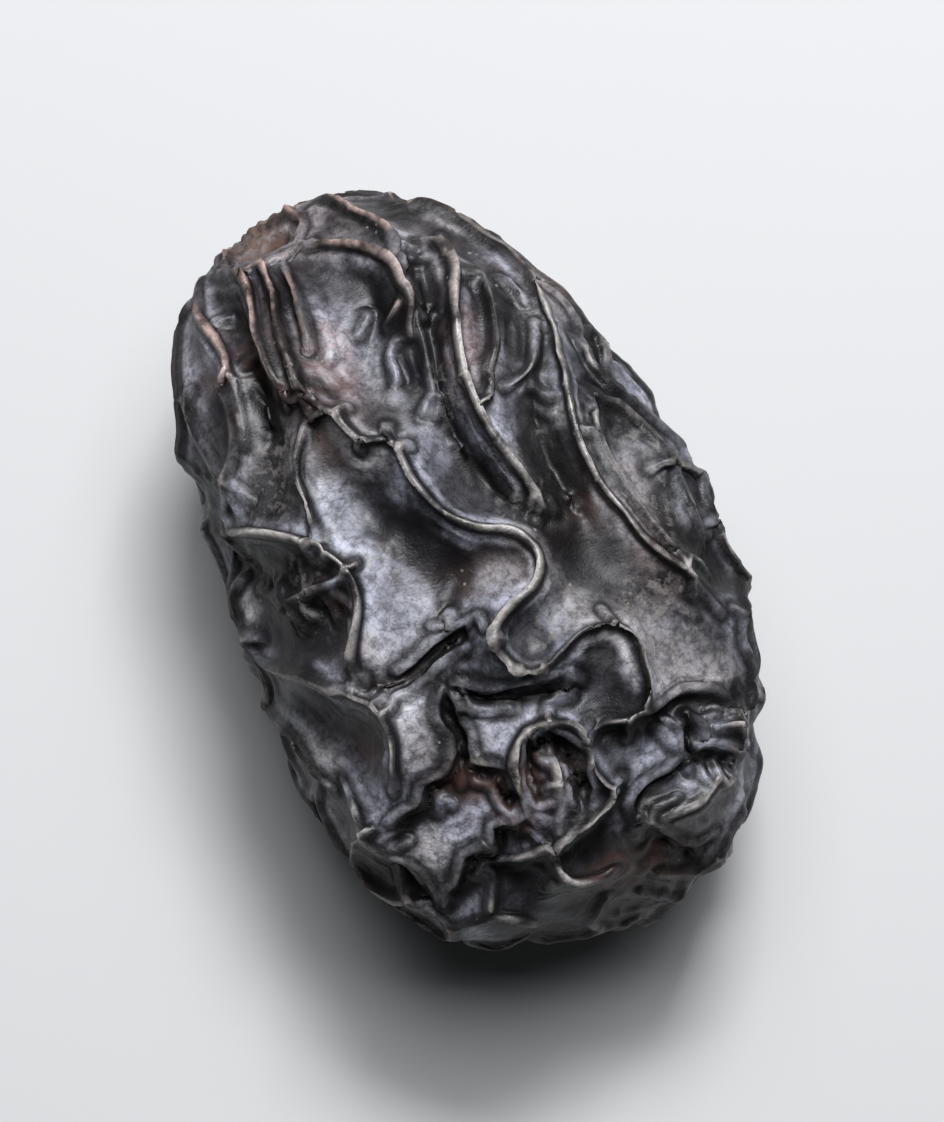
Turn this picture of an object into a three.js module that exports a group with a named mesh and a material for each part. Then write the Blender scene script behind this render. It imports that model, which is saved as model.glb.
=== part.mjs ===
// An ajwa date: one small, soft, near-black dried fruit whose skin has shrunk into winding folds.
// Millimetres, +Z up. The date lies on its side along Y, with its stem end toward +Y and its
// blunt tip toward -Y. The origin is on the ground, under the middle of its outline.
import * as THREE from "three";
import { ConvexGeometry } from "three/addons/geometries/ConvexGeometry.js";
import { ImprovedNoise } from "three/addons/math/ImprovedNoise.js";
import { mergeVertices } from "three/addons/utils/BufferGeometryUtils.js";

// Size of the fruit without its folds
const halfLength = 15.3;
const halfWidth = 9.15;
const halfHeight = 8.75;
const fullness = 2.45; // 2 is an ellipsoid, more is boxier
const stemTaper = 0.12; // how much slimmer the stem end is than the middle, and fuller the tip
const stemLean = { shift: -1.5, from: 0, to: 1.1 }; // sideways lean, over this share of the half length
const lump = { height: 0.55, size: 7.5, shift: 4.3 }; // broad unevenness of the body

// The flat spot that it rests on
const flatDepth = 0.3;
const flatWithin = 0.001;
const smoothBelow = 1.1; // folds fade out under this height above the spot

// Stem scar
const stemAt = [-3.1, 14.6];
const scarRadius = 1.5;
const scarDepth = 1.1;
const scarFloor = 0.35; // the scar's bottom is flat out to this share of its radius
const scarEdge = 1.15; // and its wall ends at this one
const scarRim = { height: 0.45, at: 1.25, width: 0.7 };
const scarClear = { from: 0.8, to: 1.9 }; // folds fade out towards the scar between these shares

// Skin
const skinColour = "#1c1716";
const skinRoughness = 0.42;
const panelSag = 0.42; // how far the skin sinks between folds
const panelReach = 1.25;
const pucker = { height: 0.12, size: 2.3, shift: 31.7 }; // small unevenness between the folds
const foldBlend = 3; // how sharply neighbouring folds keep apart where they meet
const endFade = 1.3; // length over which a fold rises out of the skin
const endProud = 0.25; // share of that length that would lie beyond the fold's end
const stepReach = 2.0; // how far a step beside a fold carries
const stepWall = 0.25; // and the width over which it rises
const sampleStep = 0.25;
const farthest = 5; // folds farther than this have no effect

// Points of the skin: rows along every fold, and an even scatter between them
const meshSeed = 7;
const rowSpacing = 0.5;
const flankOffset = 0.42; // rows beside a crest
const closest = 0.24; // points on a crest keep at least this far apart
const flankClosest = 0.34; // and points beside it this far
const scatterReach = 20; // farther out than any point of the fruit
const scatterTries = 120000;
const scatterTop = 0.4;
const scatterBottom = 0.7;
const spotPoints = 28;
const scarRings = [0, 0.45, 0.9, 1.3, 1.75, 2.2]; // rings of points round the stem scar
const scarSpacing = 0.45;
const lengthSquash = 1.28;
const tautPasses = 3; // the skin between the folds is drawn taut this many times
const tautPull = 0.5;
const tautFrom = 2.5; // from this many flank offsets on, the skin is free to be drawn
const mergeWithin = 1e-6;
const outermost = 0.985; // a path's point past the outline is drawn in to this share of it

// Folds on the upper side, as seen from above. Each has its height, the half width of its flanks,
// a step (the skin on its left, looking along the path, stands this much higher) and its path.
const upperRidges = [
  // the long winding fold from the stem end to the tip
  {
    height: 1.1, reach: 0.6, step: -0.4,
    path: [
      [-4.0, 6.7], [-2.9, 6.4], [-2.6, 5.6], [-2.3, 4.8], [-1.3, 4.4], [-1.1, 2.6], [-0.5, 1.0],
      [0.5, 0.0], [1.6, -0.6], [2.2, -1.9], [1.6, -3.0], [0.5, -3.4], [-0.5, -4.1], [-0.3, -5.3],
      [0.5, -6.0], [1.6, -5.6], [2.6, -5.2], [3.7, -5.3], [4.2, -5.9], [4.1, -7.1], [3.9, -8.4],
      [3.3, -9.0], [2.0, -9.0],
    ],
  },
  // three close folds down the left of the stem end
  {
    height: 0.85, reach: 0.4, step: 0.2,
    path: [[-4.4, 13.8], [-4.2, 12.6], [-4.4, 10.8], [-4.4, 9.2], [-4.3, 7.4]],
  },
  {
    height: 0.9, reach: 0.38, step: 0,
    path: [[-3.5, 13.6], [-3.3, 11.8], [-3.5, 10.1], [-3.6, 8.4], [-3.7, 6.9]],
  },
  { height: 0.75, reach: 0.35, step: 0, path: [[-2.8, 13.2], [-2.5, 11.6], [-2.6, 9.8], [-2.9, 8.6]] },
  // arch across the shoulder
  {
    height: 0.8, reach: 0.65, step: -0.35,
    path: [[-1.9, 13.3], [-0.6, 12.9], [0.6, 11.9], [1.2, 10.9], [1.2, 9.8], [1.6, 8.6]],
  },
  // long loop that points down to the middle
  {
    height: 0.85, reach: 0.55, step: 0.3,
    path: [[2.6, 12.2], [3.2, 10.3], [2.5, 8.3], [1.9, 5.5], [2.0, 3.4], [2.6, 1.4], [3.2, -0.2]],
  },
  { height: 0.6, reach: 0.4, step: 0, path: [[3.7, 10.6], [4.0, 8.5], [3.6, 6.8], [2.7, 5.2], [2.4, 3.4]] },
  { height: 0.5, reach: 0.35, step: 0, path: [[4.6, 9.6], [5.3, 8.0], [5.2, 6.4], [4.6, 5.3], [3.5, 4.9]] },
  // long sweep down the right side, round the lens-shaped lobe
  {
    height: 0.9, reach: 0.6, step: 0.35,
    path: [
      [2.2, 13.9], [4.1, 12.0], [5.2, 9.8], [5.8, 7.7], [5.7, 5.1], [5.2, 2.6], [5.2, 0.6], [5.7, -1.4],
      [6.4, -3.4], [7.5, -5.2],
    ],
  },
  {
    height: 0.6, reach: 0.4, step: 0,
    path: [[6.6, 3.6], [6.1, 1.8], [6.2, 0.0], [6.6, -1.9], [7.2, -3.6], [8.2, -4.6]],
  },
  {
    height: 0.6, reach: 0.4, step: 0,
    path: [[6.6, 3.6], [7.5, 2.4], [8.0, 0.6], [8.2, -1.6], [8.4, -3.8]],
  },
  {
    height: 0.6, reach: 0.5, step: 0.2,
    path: [[3.2, 14.0], [5.3, 11.6], [6.9, 8.9], [7.7, 5.6], [7.9, 4.2]],
  },
  // edges of the smooth boot-shaped panel on the left
  {
    height: 0.6, reach: 0.4, step: 0,
    path: [[-4.0, 6.6], [-4.7, 5.6], [-5.1, 4.6], [-5.1, 3.2], [-5.3, 1.8]],
  },
  {
    height: 0.9, reach: 0.6, step: 0.5,
    path: [
      [-8.2, 4.2], [-7.0, 3.2], [-6.1, 2.4], [-5.2, 1.4], [-4.7, 0.5], [-4.8, -0.6], [-5.4, -2.0],
      [-6.1, -3.6],
    ],
  },
  { height: 0.75, reach: 0.6, step: 0.35, path: [[-6.9, -3.4], [-5.7, -4.9], [-5.6, -6.2], [-6.4, -8.0]] },
  { height: 0.6, reach: 0.5, step: 0.2, path: [[-8.3, -6.9], [-7.9, -8.0], [-7.5, -9.6], [-7.0, -10.9]] },
  // small arch and its neighbours near the tip
  {
    height: 0.7, reach: 0.35, step: -0.2,
    path: [
      [-1.9, -10.4], [-1.9, -9.0], [-1.1, -8.1], [0.2, -8.0], [1.0, -8.8], [1.0, -9.9], [1.3, -10.8],
      [1.5, -11.5], [0.6, -12.0], [-0.9, -12.4],
    ],
  },
  { height: 0.55, reach: 0.5, step: 0, path: [[-0.4, -9.3], [-0.5, -10.2], [-0.6, -11.1]] },
  { height: 0.55, reach: 0.5, step: 0, path: [[8.3, -5.6], [8.6, -7.4], [8.2, -9.6]] },
  { height: 0.5, reach: 0.5, step: 0.3, path: [[7.4, -11.2], [6.0, -12.0], [4.2, -12.9], [2.9, -13.1]] },
  {
    height: 0.5, reach: 0.5, step: 0.3,
    path: [[-5.9, -13.6], [-4.4, -13.7], [-3.4, -14.3], [-2.9, -15.2]],
  },
];

// Creases on the upper side, the narrow valleys where the skin is drawn in. Each has its depth, the
// half width between its shoulders and its path.
const upperCreases = [
  { depth: 0.3, reach: 0.9, path: [[-3.2, 4.1], [-3.3, 2.4], [-2.9, 0.9]] },
  { depth: 0.35, reach: 0.8, path: [[-1.3, 0.4], [-1.2, -0.8], [-1.9, -2.0], [-2.7, -2.7]] },
  { depth: 0.3, reach: 0.7, path: [[-1.9, -2.0], [-0.4, -1.0], [1.2, -1.1]] },
  { depth: 0.8, reach: 0.55, path: [[-6.3, -3.7], [-5.6, -4.2], [-4.6, -4.3], [-2.8, -3.7], [-0.9, -3.5]] },
  { depth: 0.6, reach: 0.8, path: [[0.3, 11.5], [0.1, 9.9], [-0.9, 8.4], [-1.5, 6.6]] },
  { depth: 0.45, reach: 0.7, path: [[0.3, 8.4], [0.1, 7.0], [0.9, 5.6]] },
  {
    depth: 0.75, reach: 0.55,
    path: [[2.2, 11.2], [1.9, 9.6], [1.6, 7.6], [1.1, 5.2], [1.1, 3.2], [1.8, 1.2], [2.5, -0.1]],
  },
  { depth: 0.6, reach: 0.6, path: [[4.6, 4.6], [4.3, 2.6], [4.4, 0.6], [4.8, -1.0]] },
  { depth: 0.6, reach: 0.7, path: [[-9.0, 4.0], [-8.0, 1.6], [-6.8, 0.2], [-6.0, -1.0]] },
  { depth: 0.6, reach: 0.6, path: [[-5.4, 12.4], [-5.5, 10.0], [-5.6, 7.6], [-6.3, 6.1]] },
  // between the blocks of the last third
  {
    depth: 0.75, reach: 0.5,
    path: [
      [-3.1, -5.5], [-3.6, -6.3], [-3.4, -7.2], [-3.9, -8.2], [-4.7, -8.9], [-5.3, -8.8], [-5.8, -9.5],
      [-6.6, -9.5], [-7.2, -10.2],
    ],
  },
  { depth: 0.65, reach: 0.45, path: [[-3.1, -5.5], [-1.9, -6.2], [-0.7, -6.6], [0.6, -6.9], [1.9, -7.0]] },
  {
    depth: 0.65, reach: 0.45,
    path: [[-3.9, -8.2], [-3.1, -9.1], [-2.5, -9.4], [-2.5, -10.3], [-2.0, -11.1]],
  },
  {
    depth: 0.7, reach: 0.4,
    path: [
      [-1.2, -10.6], [-1.2, -9.4], [-0.8, -8.8], [-0.1, -8.7], [0.3, -9.3], [0.3, -10.2], [0.4, -11.1],
      [-0.4, -11.7],
    ],
  },
  {
    depth: 0.7, reach: 0.5,
    path: [
      [-2.0, -11.1], [-2.4, -11.7], [-3.1, -11.5], [-3.7, -12.2], [-4.6, -12.0], [-5.2, -12.7],
      [-6.1, -12.8],
    ],
  },
  { depth: 0.6, reach: 0.5, path: [[-7.2, -10.0], [-7.0, -11.2], [-6.6, -12.1], [-6.1, -12.7]] },
  {
    depth: 0.65, reach: 0.5,
    path: [[2.4, -10.9], [1.6, -11.9], [0.4, -12.6], [-1.2, -12.9], [-3.2, -13.0], [-5.0, -12.6]],
  },
  { depth: 0.7, reach: 0.5, path: [[1.5, -9.2], [3.1, -9.4], [4.4, -9.6], [5.6, -9.4], [7.0, -9.8]] },
  { depth: 0.65, reach: 0.45, path: [[5.6, -9.4], [5.5, -10.3], [5.0, -11.5]] },
  { depth: 0.7, reach: 0.5, path: [[2.0, -13.0], [2.9, -12.2], [4.0, -12.1], [5.1, -11.6], [6.9, -11.9]] },
  { depth: 0.6, reach: 0.5, path: [[2.0, -13.0], [2.6, -14.1], [3.7, -14.6], [5.1, -14.5]] },
];

// Folds on the flanks and the underside wander by rule
const wanderSeed = 20117;
const wanderStarts = 1600;
const wanderStride = 0.5;
const wanderApart = 1.15; // a new fold starts at least this far from the others
const wanderMeet = 0.7; // and joins one where it runs this near to it
const wanderTurn = { most: 0.68, across: 0.55, along: 0.35, shift: 3.7 };
const wanderLength = [3, 15];
const wanderHeight = [0.45, 0.85];
const wanderReach = [0.55, 0.85];
const wanderStep = [-0.3, 0.3];
const tracedFrom = 0.55; // where the body faces up more than this, its folds are those of the tables
const stemSwing = 0.35; // how far a heading swings from lengthwise near the stem
const tipSwing = 1.3;
const stemSide = 2; // near the stem means farther along Y than this
const branchShare = 0.55; // share of the folds that branch off another
const branchTurn = [0.8, 1.6];

// Folds that spread from the scar and from the tip
const stemFan = { at: stemAt, count: 17, start: 2.3, length: [5, 11], height: [0.5, 0.8] };
const tipFan = { at: [0.6, -14.8], count: 9, start: 1.2, length: [2.7, 6], height: [0.4, 0.7] };
const fanReach = 0.5;
const fanStep = [-0.15, 0.15];
const fanApart = 0.9;
const fanUneven = 0.6; // how far a fold's start moves from its even place, as a share of the spacing
const fanShift = 7.1;

const relief = new ImprovedNoise();

function seededRandom(seed) {
  let state = seed;
  return () => {
    state = (Math.imul(state, 1664525) + 1013904223) >>> 0;
    return state / 4294967296;
  };
}

function between(random, [low, high]) {
  return low + (high - low) * random();
}

function fadeIn(from, to, value) {
  return THREE.MathUtils.smoothstep(value, from, to);
}

// Places on the fruit's body, between a rounded unit form and real size
function bodySpread(along) {
  return 1 - stemTaper * along;
}

const ground = -halfHeight * bodySpread(0) + flatDepth;

function bodyLean(along) {
  return stemLean.shift * fadeIn(stemLean.from, stemLean.to, along);
}

function roundNorm(point) {
  const { x, y, z } = point;
  const sum = Math.abs(x) ** fullness + Math.abs(y) ** fullness + Math.abs(z) ** fullness;
  return sum ** (1 / fullness);
}

function toUnit(point) {
  const along = point.y / halfLength;
  const spread = bodySpread(along);
  return new THREE.Vector3(
    (point.x - bodyLean(along)) / (halfWidth * spread),
    along,
    point.z / (halfHeight * spread),
  );
}

function fromUnit(unit) {
  const spread = bodySpread(unit.y);
  return new THREE.Vector3(
    bodyLean(unit.y) + halfWidth * spread * unit.x,
    halfLength * unit.y,
    halfHeight * spread * unit.z,
  );
}

function settle(point) {
  const unit = toUnit(point);
  return fromUnit(unit.divideScalar(roundNorm(unit)));
}

function bodyNormal(point) {
  const nudge = 0.02;
  const slope = (axis) => {
    const ahead = point.clone().addScaledVector(axis, nudge);
    const behind = point.clone().addScaledVector(axis, -nudge);
    return roundNorm(toUnit(ahead)) - roundNorm(toUnit(behind));
  };
  return new THREE.Vector3(
    slope(new THREE.Vector3(1, 0, 0)),
    slope(new THREE.Vector3(0, 1, 0)),
    slope(new THREE.Vector3(0, 0, 1)),
  ).normalize();
}

// The point of the upper side that is seen at x, y from above
function liftToTop([x, y]) {
  const unit = toUnit(new THREE.Vector3(x, y, 0));
  const flat = Math.hypot(unit.x, unit.y);
  const edge = (outermost * flat) / Math.max(roundNorm(unit), 1e-6);
  if (flat > edge) {
    unit.multiplyScalar(edge / flat);
  }
  const left = 1 - Math.abs(unit.x) ** fullness - Math.abs(unit.y) ** fullness;
  unit.z = left ** (1 / fullness);
  return fromUnit(unit);
}

// A fold as a chain of points on the body, each with its direction and how far the fold has risen there
function chainOf(points, amount, reach, step, joins = { start: false, end: false }) {
  const curve = new THREE.CatmullRomCurve3(points, false, "centripetal");
  const length = curve.getLength();
  const count = Math.max(3, Math.ceil(length / sampleStep));
  const links = curve.getSpacedPoints(count).map((point, i) => {
    const fromStart = joins.start ? endFade : (i * length) / count;
    const fromEnd = joins.end ? endFade : ((count - i) * length) / count;
    return {
      point: settle(point),
      risen: fadeIn(-endProud * endFade, endFade, Math.min(fromStart, fromEnd)),
    };
  });
  links.forEach((link, i) => {
    const next = links[Math.min(i + 1, count)].point;
    const last = links[Math.max(i - 1, 0)].point;
    link.along = next.clone().sub(last).normalize();
  });
  const middle = links[Math.floor(links.length / 2)].point;
  const radius = Math.max(...links.map((link) => link.point.distanceTo(middle)));
  return { links, amount, reach, step, middle, radius };
}

function isWithin(chain, point, distance) {
  return point.distanceTo(chain.middle) < chain.radius + distance;
}

function nearestOn(chain, point) {
  let nearest = chain.links[0];
  let least = Infinity;
  for (const link of chain.links) {
    const apart = link.point.distanceToSquared(point);
    if (apart < least) {
      least = apart;
      nearest = link;
    }
  }
  const off = point.clone().sub(nearest.point);
  const slide = THREE.MathUtils.clamp(off.dot(nearest.along), -sampleStep, sampleStep);
  const foot = nearest.point.clone().addScaledVector(nearest.along, slide);
  return { foot, along: nearest.along, risen: nearest.risen, distance: foot.distanceTo(point) };
}

function nearestAmong(chains, point) {
  let best = null;
  for (const chain of chains) {
    if (!best || isWithin(chain, point, best.distance)) {
      const found = nearestOn(chain, point);
      if (!best || found.distance < best.distance) {
        best = found;
      }
    }
  }
  return best;
}

// The turn to the side that a wandering fold takes at a place
function turnAt(place, shift) {
  const { most, across, along } = wanderTurn;
  return most * relief.noise(place.x * across + shift, place.y * along, place.z * across);
}

// A fold that wanders over the body from a start, until it meets another or its length is used up
function wander(start, heading, longest, chains, turnShift) {
  const points = [start.clone()];
  let place = start.clone();
  let direction = heading.clone();
  for (let gone = 0; gone < longest; gone += wanderStride) {
    const normal = bodyNormal(place);
    direction.projectOnPlane(normal).normalize().applyAxisAngle(normal, turnAt(place, turnShift));
    place = settle(place.clone().addScaledVector(direction, wanderStride));
    const met = nearestAmong(chains, place);
    if (met.distance < wanderMeet && gone > 2 * wanderMeet) {
      points.push(met.foot);
      return { points, joined: true };
    }
    points.push(place.clone());
  }
  return { points, joined: false };
}

function isLongEnough(points) {
  return points.length * wanderStride > wanderLength[0];
}

function isTraced(point) {
  return bodyNormal(point).z > tracedFrom;
}

// Folds that spread from one point, as pleats do from a gathered edge
function addFan({ at, count, start, length, height }, chains, random) {
  const hub = liftToTop(at);
  const normal = bodyNormal(hub);
  const aside = new THREE.Vector3(0, 0, 1).projectOnPlane(normal).normalize();
  for (let i = 0; i < count; i++) {
    const angle = ((i + fanUneven * random()) * 2 * Math.PI) / count;
    const heading = aside.clone().applyAxisAngle(normal, angle);
    const foot = settle(hub.clone().addScaledVector(heading, start));
    const longest = between(random, length);
    const rise = between(random, height);
    const step = between(random, fanStep);
    if (!isTraced(foot) && nearestAmong(chains, foot).distance > fanApart) {
      const { points, joined } = wander(foot, heading, longest, chains, i * fanShift);
      if (isLongEnough(points)) {
        chains.push(chainOf(points, rise, fanReach, step, { start: false, end: joined }));
      }
    }
  }
}

// A start out on the open skin, which heads along the fruit near the stem and any way near the tip
function freeStart(random) {
  const around = new THREE.Vector3(random() - 0.5, 2 * (random() - 0.5), random() - 0.5);
  const start = settle(around.multiplyScalar(scatterReach));
  const normal = bodyNormal(start);
  const lengthwise = new THREE.Vector3(0, -1, 0).projectOnPlane(normal).normalize();
  const most = start.y > stemSide ? stemSwing : tipSwing;
  const swing = between(random, [-most, most]);
  return { start, heading: lengthwise.applyAxisAngle(normal, swing), root: null };
}

// A start beside a fold that is there already, which heads away from it
function branchStart(chains, random) {
  const chain = chains[Math.floor(random() * chains.length)];
  const link = chain.links[Math.floor(random() * chain.links.length)];
  const side = random() < 0.5 ? -1 : 1;
  const turn = side * between(random, branchTurn);
  const heading = link.along.clone().applyAxisAngle(bodyNormal(link.point), turn);
  const start = settle(link.point.clone().addScaledVector(heading, 1.1 * wanderApart));
  return { start, heading, root: link.point.clone() };
}

function makeRidges() {
  const random = seededRandom(wanderSeed);
  const chains = upperRidges.map(({ height, reach, step, path }) =>
    chainOf(path.map(liftToTop), height, reach, step),
  );
  const fans = [stemFan, tipFan];
  fans.forEach((fan) => addFan(fan, chains, random));
  for (let i = 0; i < wanderStarts; i++) {
    const branches = random() < branchShare;
    const { start, heading, root } = branches ? branchStart(chains, random) : freeStart(random);
    const longest = between(random, wanderLength);
    const height = between(random, wanderHeight);
    const reach = between(random, wanderReach);
    const step = between(random, wanderStep);
    if (isTraced(start) || nearestAmong(chains, start).distance < wanderApart) {
      continue;
    }
    const { points, joined } = wander(start, heading, longest, chains, i * wanderTurn.shift);
    if (isLongEnough(points)) {
      const path = root ? [root, ...points] : points;
      chains.push(chainOf(path, height, reach, step, { start: Boolean(root), end: joined }));
    }
  }
  return chains;
}

function makeCreases() {
  return upperCreases.map(({ depth, reach, path }) => chainOf(path.map(liftToTop), depth, reach, 0));
}

// The section of a fold, whose flanks fall away ever more gently, and that of a crease, which has
// straight walls up to its shoulders
function foldSection(distance, reach) {
  return Math.exp(-distance / reach);
}

function creaseSection(distance, reach) {
  return Math.max(0, 1 - distance / reach);
}

// How far the skin stands off the body at a point
function blended(chains, section, point) {
  let sum = 0;
  for (const chain of chains.filter((one) => isWithin(one, point, farthest))) {
    const { distance, risen } = nearestOn(chain, point);
    sum += (chain.amount * risen * section(distance, chain.reach)) ** foldBlend;
  }
  return sum ** (1 / foldBlend);
}

function stepsBeside(chains, point, normal) {
  let sum = 0;
  for (const chain of chains) {
    if (chain.step !== 0 && isWithin(chain, point, farthest)) {
      const { foot, along, risen, distance } = nearestOn(chain, point);
      const side = Math.sign(normal.clone().cross(along).dot(point.clone().sub(foot)));
      const carry = Math.exp(-distance / stepReach) - Math.exp(-distance / stepWall);
      sum += 0.5 * chain.step * side * risen * carry;
    }
  }
  return sum;
}

function softNoise(point, { size, shift }) {
  return relief.noise(point.x / size + shift, point.y / size + shift, point.z / size + shift);
}

// The dimple where the stem was, with its raised rim, at a distance in scar radii
function scarAt(distance) {
  const rim = scarRim.height * Math.exp(-((((distance - scarRim.at) * scarRadius) / scarRim.width) ** 2));
  return rim - scarDepth * (1 - fadeIn(scarFloor, scarEdge, distance));
}

function standOff(point, normal, ridges, creases, stem) {
  const nearest = nearestAmong(ridges, point).distance;
  const sag = panelSag * (1 - Math.exp(-((nearest / panelReach) ** 2)));
  const puckers = pucker.height * (1 - 2 * Math.abs(softNoise(point, pucker)));
  const fromStem = point.distanceTo(stem) / scarRadius;
  const steps = stepsBeside(ridges, point, normal);
  const rise = blended(ridges, foldSection, point) - blended(creases, creaseSection, point) + steps;
  const lumps = lump.height * softNoise(point, lump);
  const clearOfStem = fadeIn(scarClear.from, scarClear.to, fromStem);
  const clearOfGround = fadeIn(0, smoothBelow, point.z - ground);
  return clearOfGround * (clearOfStem * (rise - sag + puckers) + scarAt(fromStem) + lumps);
}

// A bin of points that knows how near its nearest one is
function makeBin(size) {
  const cells = new Map();
  const points = [];
  const key = (x, y, z) => `${x},${y},${z}`;
  const cellOf = (value) => Math.floor(value / size);
  return {
    points,
    add(point) {
      const at = key(cellOf(point.x), cellOf(point.y), cellOf(point.z));
      cells.set(at, [...(cells.get(at) ?? []), point]);
      points.push(point);
    },
    hasWithin(point, distance) {
      for (const x of [-1, 0, 1]) {
        for (const y of [-1, 0, 1]) {
          for (const z of [-1, 0, 1]) {
            const at = key(cellOf(point.x) + x, cellOf(point.y) + y, cellOf(point.z) + z);
            if ((cells.get(at) ?? []).some((other) => other.distanceTo(point) < distance)) {
              return true;
            }
          }
        }
      }
      return false;
    },
  };
}

// The edge of the flat spot, where the body passes the ground
function spotEdge() {
  return Array.from({ length: spotPoints }, (_, i) => {
    const angle = (i * 2 * Math.PI) / spotPoints;
    let low = 0;
    let high = 1;
    const at = (share) => settle(new THREE.Vector3(
      share * halfWidth * Math.cos(angle),
      share * halfLength * Math.sin(angle),
      -halfHeight,
    ));
    for (let pass = 0; pass < 20; pass++) {
      const middle = (low + high) / 2;
      if (at(middle).z < ground) {
        low = middle;
      } else {
        high = middle;
      }
    }
    return at(high);
  });
}

// Rings of points round the stem scar
function scarPoints() {
  const hub = liftToTop(stemAt);
  const normal = bodyNormal(hub);
  const aside = new THREE.Vector3(0, 0, 1).projectOnPlane(normal).normalize();
  return scarRings.flatMap((radius) => {
    const count = Math.max(1, Math.round((radius * 2 * Math.PI) / scarSpacing));
    return Array.from({ length: count }, (_, i) => {
      const heading = aside.clone().applyAxisAngle(normal, (i * 2 * Math.PI) / count);
      return settle(hub.clone().addScaledVector(heading, radius));
    });
  });
}

function skinPoints(chains) {
  const random = seededRandom(meshSeed);
  const bin = makeBin(scatterBottom);
  const addRow = (chain, offset) => {
    const stride = Math.round(rowSpacing / sampleStep);
    const apart = offset === 0 ? closest : flankClosest;
    chain.links.forEach((link, i) => {
      if (i % stride === 0 || i === chain.links.length - 1) {
        const aside = bodyNormal(link.point).cross(link.along).normalize();
        const place = settle(link.point.clone().addScaledVector(aside, offset));
        if (place.z > ground && !bin.hasWithin(place, apart)) {
          bin.add(place);
        }
      }
    });
  };
  [...spotEdge(), ...scarPoints()].forEach((point) => bin.add(point));
  for (const offset of [0, flankOffset, -flankOffset]) {
    chains.forEach((chain) => addRow(chain, offset));
  }
  for (let i = 0; i < scatterTries; i++) {
    const direction = new THREE.Vector3(random() - 0.5, random() - 0.5, random() - 0.5);
    if (direction.length() < 0.5) {
      direction.y *= lengthSquash;
      const place = settle(direction.setLength(2 * halfLength));
      const down = (halfHeight - place.z) / (2 * halfHeight);
      if (!bin.hasWithin(place, THREE.MathUtils.lerp(scatterTop, scatterBottom, down))) {
        bin.add(place);
      }
    }
  }
  return bin.points;
}

// Triangles between the points: those of the convex hull of the points drawn out onto a sphere
function drawnSkin(points) {
  const drawn = points.map(({ x, y, z }) => new THREE.Vector3(x, y / lengthSquash, z).normalize());
  const hull = new ConvexGeometry(drawn);
  hull.deleteAttribute("normal");
  return mergeVertices(hull, mergeWithin);
}

// Draws the skin between the crests taut, as a film that hangs from them
function drawTaut(geometry, held) {
  const position = geometry.getAttribute("position");
  const corners = geometry.getIndex().array;
  const neighbours = Array.from({ length: position.count }, () => new Set());
  for (let i = 0; i < corners.length; i += 3) {
    for (let side = 0; side < 3; side++) {
      const from = corners[i + side];
      const to = corners[i + ((side + 1) % 3)];
      neighbours[from].add(to);
      neighbours[to].add(from);
    }
  }
  const placeOf = (_, i) => new THREE.Vector3().fromBufferAttribute(position, i);
  const places = Array.from({ length: position.count }, placeOf);
  for (let pass = 0; pass < tautPasses; pass++) {
    const drawn = places.map((place, i) => {
      const middle = new THREE.Vector3();
      neighbours[i].forEach((other) => middle.add(places[other]));
      middle.divideScalar(neighbours[i].size);
      return place.clone().lerp(middle, tautPull * (1 - held[i]));
    });
    drawn.forEach((place, i) => places[i].copy(place));
  }
  places.forEach((place, i) => position.setXYZ(i, place.x, place.y, place.z));
}

function makeDate() {
  const ridges = makeRidges();
  const creases = makeCreases();
  const stem = liftToTop(stemAt);
  const folds = [...ridges, ...creases];
  const geometry = drawnSkin(skinPoints(folds));
  const position = geometry.getAttribute("position");
  const point = new THREE.Vector3();
  const held = [];
  for (let i = 0; i < position.count; i++) {
    point.fromBufferAttribute(position, i);
    point.y *= lengthSquash;
    const place = settle(point.multiplyScalar(halfHeight));
    const fromFold = nearestAmong(folds, place).distance;
    const onGround = place.z < ground + flatWithin;
    held.push(onGround ? 1 : 1 - fadeIn(flankOffset, tautFrom * flankOffset, fromFold));
    const normal = bodyNormal(place);
    place.addScaledVector(normal, standOff(place, normal, ridges, creases, stem));
    place.z = Math.max(place.z, ground);
    position.setXYZ(i, place.x, place.y, place.z);
  }
  drawTaut(geometry, held);
  geometry.computeBoundingBox();
  const { min, max } = geometry.boundingBox;
  geometry.translate(-(min.x + max.x) / 2, -(min.y + max.y) / 2, -min.z);
  geometry.computeVertexNormals();
  const skin = new THREE.MeshStandardMaterial({
    color: skinColour,
    roughness: skinRoughness,
    metalness: 0,
  });
  const date = new THREE.Mesh(geometry, skin);
  date.name = "date";
  return date;
}

const fruit = new THREE.Group();
fruit.add(makeDate());

export default fruit;
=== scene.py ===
# An ajwa date on a pale table: the fine skin over the plain solid, its finish, the light and the camera.
import math

import bmesh
import bpy
import numpy as np
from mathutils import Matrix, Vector, kdtree, noise


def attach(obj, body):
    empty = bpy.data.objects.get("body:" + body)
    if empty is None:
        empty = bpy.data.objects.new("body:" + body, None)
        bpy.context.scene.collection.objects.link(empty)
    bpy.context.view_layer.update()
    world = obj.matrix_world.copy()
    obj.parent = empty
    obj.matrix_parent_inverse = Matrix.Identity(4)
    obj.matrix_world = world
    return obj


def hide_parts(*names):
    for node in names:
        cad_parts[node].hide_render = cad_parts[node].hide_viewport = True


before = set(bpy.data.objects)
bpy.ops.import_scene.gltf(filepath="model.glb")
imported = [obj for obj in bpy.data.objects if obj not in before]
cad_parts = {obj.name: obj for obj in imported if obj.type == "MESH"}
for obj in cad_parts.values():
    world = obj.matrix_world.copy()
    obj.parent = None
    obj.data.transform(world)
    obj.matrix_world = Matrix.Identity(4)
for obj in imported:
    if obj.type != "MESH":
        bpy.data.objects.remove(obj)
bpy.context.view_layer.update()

mm = 0.001
tiny = 1e-6  # keeps a division from failing where there is nothing to divide by

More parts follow.
